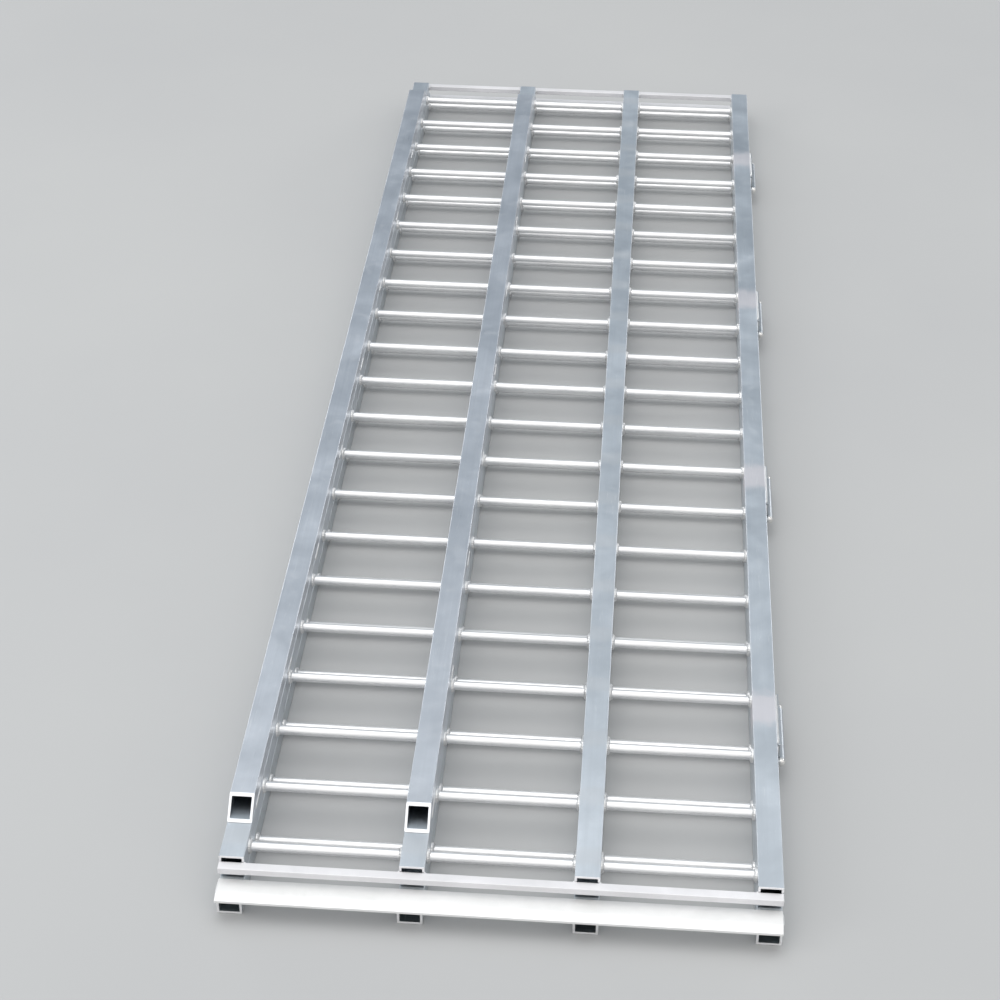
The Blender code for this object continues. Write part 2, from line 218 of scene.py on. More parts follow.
def facing(tree, axis, span):
    """How far the surface faces either way along an object axis."""
    lean = tree.part(tree.coordinate("Normal"), axis)
    return tree.remap(tree.math("ABSOLUTE", lean), span)


def heat_marks(tree, coords, film, first, pitch, reach, strength):
    """Marks left by welding, each reach to either side, repeating along Y."""
    away = tree.math("PINGPONG", tree.minus(tree.part(coords, "Y"), first), pitch / 2)
    wobble = tree.times(tree.minus(film, 0.5), reach * 1.2)
    mark = tree.remap(tree.add(away, wobble), span=(reach * 0.35, reach), to=(1.0, 0.0),
                      smooth=True)
    return tree.times(mark, strength)


def aluminium(name, colour, rough, grain="Y", streak=0.05, cloud=0.06, edge=0.35,
              scratch=0.5, heat=None, metallic=1.0, warmth=(0.93, 0.90, 0.87),
              wear_and_highlight_by="edge", sawn=False, relief=0.14):
    """Bare aluminium with drawn grain, clouding, scratches and bright wear that also paints
    highlights on edges and tops.

    grain is the axis of the drawing lines.  streak, cloud, edge and scratch are
    the strengths of the grain, clouding, bright wear (which also paints highlights)
    and scratches, and relief is the bump's.  heat holds heat_marks' arguments, and
    warmth is the marks' tint.  wear_and_highlight_by is "edge" for flat stock, whose
    rounded edges get bright wear and a painted edge highlight, or "top" for round
    stock that is rubbed along its upper line, where a painted top highlight also falls.
    sawn brightens the faces across a tube's ends and paints shade into the bore.
    """
    material = bpy.data.materials.new(name)
    material.use_nodes = True
    tree = ShaderTree(material.node_tree)
    coords = tree.coordinate("Object")
    random = tree.new("ShaderNodeObjectInfo").outputs["Random"]
    place = piece_place(tree, coords, random)

    # patterns: fine and broad drawing lines, clouds, and a patchy surface film
    fine = tree.noise(tree.stretch(place, grained(grain, across=1500.0, along=9.0)),
                      detail=3.0, rough=0.65)
    broad = tree.noise(tree.stretch(place, grained(grain, across=260.0, along=2.2)),
                       detail=4.0, rough=0.6)
    clouds = tree.noise(place, scale=11.0, detail=5.0, rough=0.6, distort=0.3)
    film = tree.noise(place, scale=46.0, detail=5.0, rough=0.62, distort=0.6)
    scratches = tree.times(hairlines(tree, place, grain), scratch)
    # wear and painted highlight: rounded edges, or the faces that point up, are brightened
    wear_and_highlight = edge_highlight_and_wear(tree) if wear_and_highlight_by == "edge" else facing(tree, "Z", span=(0.80, 0.99))
    # the film breaks up the wear and its painted highlight
    wear_and_highlight = tree.times(wear_and_highlight, tree.remap(film, span=(0.35, 0.62), to=(0.35, 1.0)))
    wear_and_highlight = tree.times(wear_and_highlight, edge)

    # colour: clouds from dark to light, then darker streaks and film
    base = tree.mix(tree.remap(clouds, span=(0.30, 0.70)), tint(colour, (0.86,) * 3),
                    tint(colour, (1.09,) * 3, limit=0.97))
    base = tree.mix(tree.times(tree.remap(broad, span=(0.35, 0.65)), streak * 4.0),
                    base, tint(colour, (0.88,) * 3))
    base = tree.mix(tree.times(tree.remap(film, span=(0.55, 0.72)), cloud * 3.0),
                    base, tint(colour, (0.88, 0.87, 0.86)))

    # roughness: clouds and fine lines vary it both ways, and film only adds
    roughness = tree.add(rough, tree.times(tree.minus(clouds, 0.5), cloud * 3.2))
    roughness = tree.add(roughness, tree.times(tree.minus(fine, 0.5), streak * 3.0))
    roughness = tree.add(roughness, tree.times(tree.remap(film, span=(0.52, 0.70)), 0.09))

    if heat is not None:
        mark = heat_marks(tree, coords, film, **heat)
        base = tree.mix(mark, base, tint(colour, warmth, limit=0.95))
        roughness = tree.add(roughness, tree.times(mark, 0.16))

    if sawn:
        # pale, rougher saw cuts with fine level marks, and painted shade in the bore: a darker
        # tone inside the tube
        cut = facing(tree, "Y", span=(0.45, 0.70))
        marks = tree.noise(tree.stretch(place, (90.0, 90.0, 1900.0)), detail=2.0)
        base = tree.mix(cut, base, tree.mix(marks, (0.90, 0.90, 0.91), (0.98, 0.98, 0.98)))
        roughness = tree.add(roughness, tree.times(cut, 0.16))
        # painted shade: the bore is darkened where shade falls inside the tube
        bore = tree.new("ShaderNodeAttribute", attribute_name="inside").outputs["Fac"]
        base = tree.mix(tree.remap(bore, span=(0.5, 1.0)), base,
                        tint(colour, (0.62, 0.66, 0.68)))

    # wear, which is also a painted highlight, and scratches are bright, and wear is smoother
    base = tree.mix(wear_and_highlight, base, (0.93, 0.94, 0.95))
    base = tree.mix(tree.times(scratches, 0.55), base, (0.92, 0.93, 0.94))
    roughness = tree.minus(roughness, tree.times(wear_and_highlight, 0.12))
    # a slight difference in tone from piece to piece
    tone = tree.remap(random, span=(0.0, 1.0), to=(0.955, 1.03))
    scaled = tree.new("ShaderNodeVectorMath", {0: base, "Scale": tone}, operation="SCALE")

    # relief: raised lines and film, with the scratches cut in
    height = tree.add(tree.times(fine, 0.45), tree.times(broad, 0.55))
    height = tree.minus(height, tree.times(scratches, 0.7))
    height = tree.add(height, tree.times(film, 0.35))
    bump = tree.new("ShaderNodeBump",
                    {"Strength": relief, "Distance": 0.00035, "Height": height})

    least_rough, most_rough = 0.12, 0.85
    roughness = tree.math("MINIMUM", tree.math("MAXIMUM", roughness, least_rough), most_rough)
    shader = material.node_tree.nodes["Principled BSDF"]
    for socket, value in {"Base Color": scaled.outputs[0], "Roughness": roughness,
                          "Normal": bump.outputs[0], "Metallic": metallic,
                          "Specular IOR Level": 0.5}.items():
        tree.put(shader.inputs[socket], value)
    material.diffuse_color = (*colour, 1.0)
    return material


RAIL_TONE = (0.640, 0.685, 0.735)
# sawn also paints shade into the rails' bores
RAIL_FINISH_AND_BORE_SHADE = dict(streak=0.075, cloud=0.085, sawn=True)
RUNG_HEAT = dict(pitch=PITCH, reach=0.017, strength=0.40)
HINGE_HEAT = dict(first=hinge_y(1) + 0.012, pitch=hinge_y(2) - hinge_y(1), reach=0.034,
                  strength=0.85)
# top wear brightens the rungs' upward faces: rubbing wear plus a painted top highlight
RUNG_FINISH_AND_TOP_HIGHLIGHT = dict(grain="X", metallic=0.8, streak=0.03, wear_and_highlight_by="top", relief=0.035)

# edge sets the bright worn edges, which also paint the tubes' edge highlights
UPPER_RAIL_METAL = aluminium("upper_rail_metal", RAIL_TONE, rough=0.38, edge=0.85,
                             heat=dict(first=UP_FIRST, **RUNG_HEAT), **RAIL_FINISH_AND_BORE_SHADE)
HINGE_RAIL_METAL = aluminium("upper_hinge_rail_metal", RAIL_TONE, rough=0.38, edge=0.85,
                             heat=HINGE_HEAT, warmth=(1.12, 1.02, 0.99), **RAIL_FINISH_AND_BORE_SHADE)
# painted shade: the lower rails take a darker, greener copy of the rails' tone and weaker edge
# highlights, as they lie under the upper panel
LOWER_RAIL_SHADED_METAL = aluminium("lower_rail_shaded_metal", (0.61, 0.65, 0.68), rough=0.40, edge=0.7,
                             heat=dict(first=LOW_FIRST, **RUNG_HEAT), **RAIL_FINISH_AND_BORE_SHADE)
DOUBLER_METAL = aluminium("doubler_metal", (0.665, 0.70, 0.755), rough=0.36, streak=0.08,
                          cloud=0.085, edge=0.85, sawn=True)
UPPER_RUNG_METAL = aluminium("upper_rung_metal", (0.94, 0.94, 0.955), rough=0.33,
                             cloud=0.035, scratch=0.6, **RUNG_FINISH_AND_TOP_HIGHLIGHT)
# painted shade: the lower rungs are a darker copy of the upper rungs' tone, as they lie under
# the upper panel
LOWER_RUNG_SHADED_METAL = aluminium("lower_rung_shaded_metal", (0.91, 0.91, 0.92), rough=0.34,
                             cloud=0.04, **RUNG_FINISH_AND_TOP_HIGHLIGHT)
LIP_METAL = aluminium("lip_plate_metal", (0.93, 0.94, 0.93), rough=0.50, grain="X",
                      streak=0.03, cloud=0.05, scratch=0.8, metallic=0.35)
BAR_METAL = aluminium("end_bar_metal", (0.76, 0.755, 0.775), rough=0.50, grain="X",
                      metallic=0.20)
WELD_METAL = aluminium("weld_metal", (0.80, 0.80, 0.80), rough=0.38, streak=0.02,
                       cloud=0.10, edge=0.20, scratch=0.0, wear_and_highlight_by="top")
HINGE_METAL = aluminium("hinge_metal", (0.50, 0.53, 0.56), rough=0.36, streak=0.06)
PIN_STEEL = aluminium("pin_steel", (0.83, 0.82, 0.80), rough=0.22, streak=0.02,
                      cloud=0.05, scratch=0.3, wear_and_highlight_by="top")


# -------------------------------------------------------------- making pieces
def add_object(name, data):
    obj = bpy.data.objects.new(name, data)
    scene.collection.objects.link(obj)
    return obj


def finished_mesh(name, shape):
    """Turn a bmesh into a mesh, and free it."""
    bmesh.ops.recalc_face_normals(shape, faces=shape.faces)
    mesh = bpy.data.meshes.new(name)
    shape.to_mesh(mesh)
    shape.free()
    return mesh


def add_mesh(name, mesh, material, body, slot, replaces=(), angle=32.0):
    """Make a piece and hang it on its body.  Edges past angle degrees stay sharp."""
    mesh.shade_smooth()
    mesh.set_sharp_from_angle(angle=math.radians(angle))
    mesh.materials.clear()
    mesh.materials.append(material)
    obj = add_object(name, mesh)
    if material is not WELD_METAL:
        # large faces keep their own normals, so flats read flat beside a bevel
        weighted = obj.modifiers.new("flat_faces", "WEIGHTED_NORMAL")
        weighted.mode = "FACE_AREA"
        weighted.weight = 50
        weighted.keep_sharp = True
    if replaces:
        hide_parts(*replaces)
    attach(obj, body)


def add_piece(name, shape, *args, **named):
    add_mesh(name, finished_mesh(name, shape), *args, **named)


def add_welds(name, shape, body, slot):
    add_piece(name, shape, WELD_METAL, body, slot, angle=60.0)


def boolean(shape, steps):
    """Apply (operation, bmesh) steps to a bmesh, and give back the mesh."""
    host = add_object("work_host", finished_mesh("work_host", shape))
    helpers = []
    for i, (operation, other) in enumerate(steps):
        label = "work_%d" % i
        helper = add_object(label, finished_mesh(label, other))
        helpers.append(helper)
        modifier = host.modifiers.new("cut%d" % i, "BOOLEAN")
        modifier.operation = operation
        modifier.solver = "EXACT"
        modifier.object = helper
    bpy.context.view_layer.update()
    mesh = bpy.data.meshes.new_from_object(
        host.evaluated_get(bpy.context.evaluated_depsgraph_get()))
    for obj in helpers + [host]:
        bpy.data.objects.remove(obj, do_unlink=True)
    return mesh


# --------------------------------------------------------------- basic shapes
def box_shape(low, high, bevel=0.0, segments=2):
    shape = bmesh.new()
    low, high = Vector(low), Vector(high)
    place = Matrix.Translation((low + high) / 2) @ Matrix.Diagonal((*(high - low), 1.0))
    made = bmesh.ops.create_cube(shape, size=1.0, matrix=place)
    if bevel:
        edges = {edge for vert in made["verts"] for edge in vert.link_edges}
        bmesh.ops.bevel(shape, geom=list(edges), offset=bevel, segments=segments,
                        profile=0.5, affect="EDGES", clamp_overlap=True)
    return shape


def loft(shape, rings, closed=True):
    """Skin a list of equal rings of points; closed joins the last to the first."""
    rows = [[shape.verts.new(point) for point in ring] for ring in rings]
    count = len(rows[0])
    pairs = list(zip(rows, rows[1:])) + ([(rows[-1], rows[0])] if closed else [])
    for row, after in pairs:
        for i in range(count):
            j = (i + 1) % count
            shape.faces.new((row[i], row[j], after[j], after[i]))
    return rows


def rounded_rect(half_x, half_z, radius, steps=3):
    """Points round a rectangle with rounded corners, anticlockwise."""
    points = []
    for k, (side_x, side_z) in enumerate(((1, 1), (-1, 1), (-1, -1), (1, -1))):
        for i in range(steps + 1):
            angle = math.pi / 2 * (k + i / steps)
            points.append((side_x * (half_x - radius) + radius * math.cos(angle),
                           side_z * (half_z - radius) + radius * math.sin(angle)))
    return points


def tube_shape(mid_x, mid_z, width, height, near, far, setback=lambda level: 0.0):
    """A rectangular tube along Y, open at both ends, with rounded corners and
    dressed ends.  setback gives how far the ends are cut back at a height
    from the tube's middle."""
    def section(inset, radius):
        return rounded_rect(width / 2 - inset, height / 2 - inset, radius)

    def ring(points, y, side, inset):
        return [Vector((mid_x + x, y + side * (setback(z) + inset), mid_z + z))
                for x, z in points]

    outer = section(0.0, CORNER)
    outer_rim = section(CUT_EDGE, CORNER - CUT_EDGE)
    inner = section(WALL, BORE_CORNER)
    inner_rim = section(WALL - CUT_EDGE, BORE_CORNER + CUT_EDGE)
    shape = bmesh.new()
    inside = shape.verts.layers.float.new("inside")
    rows = loft(shape, [ring(outer_rim, near, 1, 0.0), ring(outer, near, 1, CUT_EDGE),
                        ring(outer, far, -1, CUT_EDGE), ring(outer_rim, far, -1, 0.0),
                        ring(inner_rim, far, -1, 0.0), ring(inner, far, -1, CUT_EDGE),
                        ring(inner, near, 1, CUT_EDGE), ring(inner_rim, near, 1, 0.0)])
    for vert in rows[5] + rows[6]:      # the bore's two rings
        vert[inside] = 1.0
    return shape


def spokes(axis, sides):
    """Unit vectors round an axis."""
    out = Vector((0, 1, 0)) if axis.x else Vector((1, 0, 0))
    side = axis.cross(out)
    angles = [2 * math.pi * i / sides for i in range(sides)]
    return [out * math.cos(angle) + side * math.sin(angle) for angle in angles]


def turned_shape(centre, profile, axis, sides=40, shape=None):
    """Turn (radius, height) points, the first and last on the axis."""
    shape = shape or bmesh.new()
    centre = Vector(centre)
    first = shape.verts.new(centre + axis * profile[0][1])
    last = shape.verts.new(centre + axis * profile[-1][1])
    rows = [[shape.verts.new(centre + axis * height + spoke * radius)
             for spoke in spokes(axis, sides)] for radius, height in profile[1:-1]]
    for i in range(sides):
        j = (i + 1) % sides
        shape.faces.new((first, rows[0][j], rows[0][i]))
        shape.faces.new((last, rows[-1][i], rows[-1][j]))
        for row, after in zip(rows, rows[1:]):
            shape.faces.new((row[i], row[j], after[j], after[i]))
    return shape


def turned_ring(centre, outline, axis, sides=40):
    """Turn a closed outline that stays clear of the axis."""
    shape = bmesh.new()
    centre = Vector(centre)
    loft(shape, [[centre + axis * height + spoke * radius for radius, height in outline]
                 for spoke in spokes(axis, sides)])
    return shape


def rod_shape(centre, radius, length, axis, sides, chamfer=0.0, shape=None):
    """A round bar, with chamfered ends if asked."""
    end = length / 2
    if chamfer:
        rim = [(radius - chamfer, -end), (radius, -end + chamfer),
               (radius, end - chamfer), (radius - chamfer, end)]
    else:
        rim = [(radius, -end), (radius, end)]
    return turned_shape(centre, [(0.0, -end), *rim, (0.0, end)], axis, sides, shape)


# ---------------------------------------------------------------------- welds
def wave(value, seed):
    """A smooth value between -1 and 1 that differs from bead to bead."""
    return (math.sin(value * 1.7 + seed * 12.9898) * 0.6
            + math.sin(value * 4.1 + seed * 78.233) * 0.4)


def fillet_ring(shape, x, towards, y, z, seed):
    """The weld round a rung where it meets a rail's wall at x."""
    steps, scallops = 72, 19
    sunk = 0.0005               # into the wall
    under = RUNG_R - 0.0006     # into the rung
    rings = []
    for i in range(steps):
        angle = 2 * math.pi * i / steps
        ripple = abs(math.sin(scallops * angle / 2 + seed))
        size = WELD_LEG * (0.90 + 0.13 * ripple + 0.12 * wave(angle, seed))
        # the bead is fuller where a welder can reach it, at the top and bottom
        size *= 0.92 + 0.12 * abs(math.sin(angle))
        bulge = size * (0.16 + 0.10 * ripple)
        outline = [(RUNG_R + size, -sunk)]
        for k in range(5):
            part = k / 4
            push = bulge * math.sin(math.pi * part)
            outline.append((RUNG_R + size * (1 - part) + push * 0.7 + 0.00002,
                            size * 1.05 * part + push * 0.7))
        outline += [(under, size * 1.05), (under, -sunk)]
        rings.append([Vector((x + towards * height, y + radius * math.cos(angle),
                              z + radius * math.sin(angle))) for radius, height in outline])
    loft(shape, rings)


def bead(shape, start, end, out, width, height, seed):
    """A straight run of weld with overlapping ripples and rounded ends."""
    start, end = Vector(start), Vector(end)
    out = Vector(out).normalized()
    path = end - start
    length = path.length
    path.normalize()
    across = path.cross(out).normalized()
    count = max(10, int(length / 0.00055))
    points = 10
    rings = []
    for i in range(count + 1):
        run = length * i / count
        edge = min(run, length - run) / (width * 0.55)
        taper = math.sqrt(max(0.0, 1 - (1 - min(edge, 1.0)) ** 2)) * 0.96 + 0.04
        ripple = abs(math.sin(math.pi * run / RIPPLE_PITCH + seed))
        size = taper * (0.94 + 0.12 * ripple + 0.07 * wave(run * 160, seed))
        wander = across * (width * 0.06 * wave(run * 90, seed + 1.0))
        ring = []
        for k in range(points):
            angle = 2 * math.pi * k / points
            lift = math.sin(angle)
            # the crown trails along the path; the root is shallow and straight
            lag = 0.30 * width * (1 - math.cos(angle) ** 2) if lift > 0 else 0.0
            lift *= height * (0.88 + 0.16 * ripple) if lift > 0 else height * 0.55
            ring.append(start + path * (run + lag * taper * 0.5) + wander
                        + across * (math.cos(angle) * width / 2 * size)
                        + out * (lift * size))
        rings.append(ring)
    rows = loft(shape, rings, closed=False)
    for row in (rows[0], rows[-1]):
        shape.faces.new(row)


# ---------------------------------------------------------------------- rails
def add_rail(name, x, z_span, y_span, material, body, replaces):
    shape = tube_shape(x, (z_span[0] + z_span[1]) / 2, RAIL, RAIL, *y_span)
    add_piece(name, shape, material, body, "rail", replaces)


# (tag, x, the frame pieces that the lower panel's rail replaces)
RAILS = (("left", OUTER_L, ("lower_left_rail",)),
         ("right", OUTER_R, ("lower_right_rail",)),
         ("inner_left", INNER_L, ("lower_ladder",)),
         ("inner_right", INNER_R, ()))
for tag, x, replaced in RAILS:
    add_rail("lower_%s_rail_tube" % tag, x, LOW_Z, LOW_Y, LOWER_RAIL_SHADED_METAL, LOWER, replaced)
for tag, x, _ in RAILS:
    add_rail("upper_%s_rail_tube" % tag, x, UP_Z, UP_Y,
             HINGE_RAIL_METAL if tag == "right" else UPPER_RAIL_METAL, UPPER,
             ("upper_%s_rail" % tag,))


# ---------------------------------------------------------------------- rungs
def rung_shape(y, z, shape=None):
    return rod_shape((MID_X, y, z), RUNG_R, 2 * RUNG_REACH, X_AXIS, sides=36,
                     chamfer=0.0004, shape=shape)


def add_rung_welds(name, first, z, body):
    shape = bmesh.new()
    for i in range(RUNGS):
        for k, (x, towards) in enumerate(RAIL_WALLS):
            fillet_ring(shape, x, towards, first + i * PITCH, z, seed=0.37 * i + 1.9 * k)
    add_welds(name, shape, body, "ladder")


lower_rungs = bmesh.new()
for i in range(RUNGS):
    node = "upper_rung_%02d" % (i + 1)
    add_piece(node + "_rod", rung_shape(UP_FIRST + i * PITCH, UP_RUNG_Z),
              UPPER_RUNG_METAL, UPPER, "ladder", (node,))
    rung_shape(LOW_FIRST + i * PITCH, LOW_RUNG_Z, lower_rungs)
add_piece("lower_rung_rods", lower_rungs, LOWER_RUNG_SHADED_METAL, LOWER, "ladder")
add_rung_welds("upper_rung_welds", UP_FIRST, UP_RUNG_Z, UPPER)
add_rung_welds("lower_rung_welds", LOW_FIRST, LOW_RUNG_Z, LOWER)

# ------------------------------------------------------------------- doublers
MITRE = 0.0235            # how far a doubler's top is cut back at each end
STITCH_START, STITCH, STITCH_PITCH = 0.022, 0.030, 0.2046
STITCH_CLEAR = 0.05       # no stitch starts this near the far end


def add_doubler(tag, welds):
    """A mitred tube, with stitch welds along its two bottom edges."""
    low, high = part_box("doubler_" + tag)
    x, tall = (low.x + high.x) / 2, high.z - low.z
    shape = tube_shape(x, (low.z + high.z) / 2, high.x - low.x, tall, low.y, high.y,
                       lambda level: (level + tall / 2) / tall * MITRE)
    add_piece("doubler_%s_tube" % tag, shape, DOUBLER_METAL, UPPER, "rail",
              ("doubler_" + tag,))
    y = low.y + STITCH_START
    k = 0
    while y < high.y - STITCH_CLEAR:
        for side in (-1, 1):
            edge = x + side * (RAIL / 2 - 0.0003)
            bead(welds, (edge, y, low.z - 0.0001), (edge, y + STITCH, low.z - 0.0001),
                 (side, 0, 0.12), width=0.0046, height=0.0013, seed=0.7 * k + side)
        y += STITCH_PITCH
        k += 1


doubler_welds = bmesh.new()
for tag in ("left", "inner"):
    add_doubler(tag, doubler_welds)
add_welds("doubler_welds", doubler_welds, UPPER, "rail")


# ------------------------------------------------------------------- end bars
def add_end_bar(tag, body):
    """A flat bar across the rails' ends, with its welds."""
    low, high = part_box(tag + "_bar")
    add_piece(tag + "_bar_flat", box_shape(low, high, bevel=0.0009, segments=3),
              BAR_METAL, body, "plate", (tag + "_bar",))
    face = 1 if low.y < 0 else -1            # way from the bar to the rails
    back = high.y if face > 0 else low.y
    welds = bmesh.new()
    for k, (wall, towards) in enumerate(RAIL_WALLS):
        x, y = wall + towards * 0.0002, back + face * 0.0004
        bead(welds, (x, y, low.z + 0.0004), (x, y, high.z - 0.0002), (towards, face, 0),
             width=0.0042, height=0.0016, seed=1.7 * k)
    y, z, reach = back + face * 0.0006, low.z - 0.0020, 0.0112
    for k, x in enumerate(RAIL_XS):
        # a heavy run under the bar, partly filling the tube's mouth
        bead(welds, (x - reach, y, z), (x + reach, y, z), (0, -face, -0.45),
             width=0.0062, height=0.0026, seed=2.3 * k)
    add_welds(tag + "_bar_welds", welds, body, "plate")


add_end_bar("upper_near", UPPER)
add_end_bar("upper_far", UPPER)
add_end_bar("lower_far", LOWER)

# ------------------------------------------------------------------ lip plate
lip_low, lip_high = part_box("lip_plate")
LIP_THICK = 0.0032
LIP_DROP = 0.0025                # of the near edge, below the flat part
LIP_BEND = LOW_Y[0] - 0.0010     # y of the bend
LIP_SOFT = 0.0022                # the bend's reach each way
LIP_SLOPE = LIP_DROP / (LIP_BEND - lip_low.y)
LIP_EASE = 0.0006                # eased near and far edges
LIP_INSET = 0.0005               # eased left and right ends


def lip_top(y):
    """Height of the top face."""
    past = LIP_BEND - y
    if past <= -LIP_SOFT:
        return lip_high.z
    if past >= LIP_SOFT:
        return lip_high.z - LIP_SLOPE * past
    part = (past + LIP_SOFT) / (2 * LIP_SOFT)
    return lip_high.z - LIP_SLOPE * LIP_SOFT * part * part


def lip_outline():
    """(y, z) points along the top from far to near, then back underneath."""
    stations = [lip_high.y, lip_high.y - LIP_EASE * 0.3, lip_high.y - LIP_EASE]
    stations += [LIP_BEND + 0.0025 - 0.0005 * i for i in range(11)]
    stations += [lip_low.y + 0.0008 + LIP_EASE, lip_low.y + LIP_EASE * 0.3, lip_low.y]
    upper, lower = [], []
    for y in sorted(set(stations), reverse=True):
        inward = min(lip_high.y - y, y - lip_low.y)
        lean = 1 - min(inward / LIP_EASE, 1.0)
        pull = LIP_EASE * (1 - math.sqrt(max(0.0, 1 - lean ** 2)))
        upper.append((y, lip_top(y) - pull))
        lower.append((y, lip_top(y) - LIP_THICK + pull))
    return upper + lower[::-1]


def lip_shape():
    """The bent plate: its outline in YZ, run across the ramp."""
    outline = lip_outline()
    middle_y = sum(point[0] for point in outline) / len(outline)

    def ring(x, shrink):
        points = []
        for y, z in outline:
            at_edge = min(lip_high.y - y, y - lip_low.y) < 0.002
            shift_y = (shrink if y < middle_y else -shrink) if at_edge else 0
            shift_z = shrink if z < lip_top(y) - LIP_THICK / 2 else -shrink
            points.append(Vector((x, y + shift_y, z + shift_z)))
        return points

    shape = bmesh.new()
    rows = loft(shape, [ring(lip_low.x, LIP_INSET), ring(lip_low.x + LIP_INSET, 0.0),
                        ring(lip_high.x - LIP_INSET, 0.0), ring(lip_high.x, LIP_INSET)],
                closed=False)
    for row in (rows[0], rows[-1]):
        # cap each end with quads between its top and its underside
        for i in range(len(row) // 2 - 1):
            shape.faces.new((row[i], row[i + 1], row[-2 - i], row[-1 - i]))
    return shape


def lip_welds():
    """Runs behind the plate on each rail, and under it along the rail's sides."""
    shape = bmesh.new()
    y, z, reach = lip_high.y - 0.0002, LOW_Z[1] + 0.0002, 0.0092
    for k, x in enumerate(RAIL_XS):
        bead(shape, (x - reach, y, z), (x + reach, y, z), (0, 1, 0.75),
             width=0.0030, height=0.0015, seed=0.8 * k)
        for side in (-1, 1):
            wall = x + side * (RAIL / 2 - 0.0001)
            bead(shape, (wall, LOW_Y[0] + 0.002, LOW_Z[1] - 0.0001),
                 (wall, lip_high.y - 0.002, LOW_Z[1] - 0.0001), (side, 0, -0.6),
                 width=0.0030, height=0.0012, seed=1.3 * k + side)
    return shape


add_piece("lip_plate_sheet", lip_shape(), LIP_METAL, LOWER, "plate", ("lip_plate",),
          angle=40.0)
add_welds("lip_plate_welds", lip_welds(), LOWER, "plate")

# --------------------------------------------------------------------- hinges
BARREL_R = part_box("hinge_1_upper_leaf")[1].x - JOINT.x
BORE_R = 0.0034
LEAF_THICK = 0.0030
LEAF_RELIEF = 0.0058      # from the pin's axis to a leaf's flat strip
END_KNUCKLE = 0.0200
KNUCKLE_GAP = 0.0004
HEAD_R = 0.0047           # pin heads, caps and washers
SHANK_R = 0.0030
WASHER_EASE = 0.00018
PIN_ORIGIN = (JOINT.x, 0, JOINT.z)


def add_leaf(i, which, body):
    """A flat strip with its knuckles, bored through; gives the strip's corners."""
    node = "hinge_%d_%s_leaf" % (i, which)
    low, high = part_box(node)
    near, far = (corner.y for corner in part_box("hinge_%d_lower_leaf" % i))
    x0 = JOINT.x - BARREL_R + 0.0002
    x1 = x0 + LEAF_THICK
    if which == "upper":
        spans = [(near + END_KNUCKLE + KNUCKLE_GAP, far - END_KNUCKLE - KNUCKLE_GAP)]
        strip = ((x0, low.y, JOINT.z + LEAF_RELIEF), (x1, high.y, high.z))
        tab_z = (JOINT.z, JOINT.z + LEAF_RELIEF + 0.002)
    else:
        spans = [(near, near + END_KNUCKLE), (far - END_KNUCKLE, far)]
        strip = ((x0, low.y, low.z), (x1, high.y, JOINT.z - LEAF_RELIEF))
        tab_z = (JOINT.z - LEAF_RELIEF - 0.002, JOINT.z)
    steps = []
    for start, end in spans:
        # a tab joins each knuckle to the strip
        tab = box_shape((x0, start + 0.0003, tab_z[0]), (x1, end - 0.0003, tab_z[1]))
        knuckle = rod_shape((JOINT.x, (start + end) / 2, JOINT.z), BARREL_R, end - start,
                            Y_AXIS, sides=48, chamfer=0.0003)
        steps += [("UNION", tab), ("UNION", knuckle)]
    bore = rod_shape((JOINT.x, (low.y + high.y) / 2, JOINT.z), BORE_R, 0.12, Y_AXIS, sides=40)
    steps.append(("DIFFERENCE", bore))
    mesh = boolean(box_shape(*strip, bevel=0.0006, segments=2), steps)
    add_mesh(node + "_plate", mesh, HINGE_METAL, body, "hinge", (node,), angle=30.0)
    return strip


def weld_leaf(shape, i, side, strip):
    """Runs along a strip's free edge and down both its ends; side is 1 for up."""
    (_, near, bottom), (_, far, top) = strip
    wall = OUTER_R + RAIL / 2
    z = (top if side > 0 else bottom) - side * 0.0001
    bead(shape, (wall + 0.0004, near + 0.002, z), (wall + 0.0004, far - 0.002, z),
         (1, 0, side), width=0.0042, height=0.0019, seed=0.6 * i)
    for y, way in ((near, -1), (far, 1)):
        bead(shape, (wall + 0.0003, y, bottom + 0.0025), (wall + 0.0003, y, top - 0.0025),
             (0.8, way, 0), width=0.0036, height=0.0015, seed=1.1 * i + way)


def dome(face, height, steps=10):
    """(radius, height) points from a dome's crown to its flat face."""
    rim = 0.0008
    points = [(0.0, face + height)]
    for k in range(1, steps + 1):
        angle = math.pi / 2 * k / steps
        points.append((HEAD_R * math.sin(angle),
                       face + rim + (height - rim) * math.cos(angle)))
    return points + [(HEAD_R - 0.0001, face + 0.0001), (HEAD_R - 0.0003, face)]


def add_steel(name, shape, node):
    add_piece(name, shape, PIN_STEEL, LOWER, "steel", (node,))


def add_pin(i):
    """The pin with its domed near head; the profile runs towards -Y."""
    node = "hinge_%d_pin" % i
    low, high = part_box(node)
    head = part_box("hinge_%d_near_washer" % i)[0].y - FIT      # the head's flat face
    profile = dome(-head, -low.y + head)
    profile += [(SHANK_R, -head), (SHANK_R, -high.y + 0.0005), (SHANK_R - 0.0005, -high.y),
                (0.0, -high.y)]
    add_steel(node + "_turned", turned_shape(PIN_ORIGIN, profile, -Y_AXIS), node)


def add_washer(i, side):
    node = "hinge_%d_%s_washer" % (i, side)
    near, far = (corner.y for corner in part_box(node))
    bore, eased = SHANK_R + FIT, HEAD_R - WASHER_EASE
    outline = [(bore, near), (eased, near), (HEAD_R, near + WASHER_EASE),
               (HEAD_R, far - WASHER_EASE), (eased, far), (bore, far)]
    add_steel(node + "_ring", turned_ring(PIN_ORIGIN, outline, Y_AXIS), node)


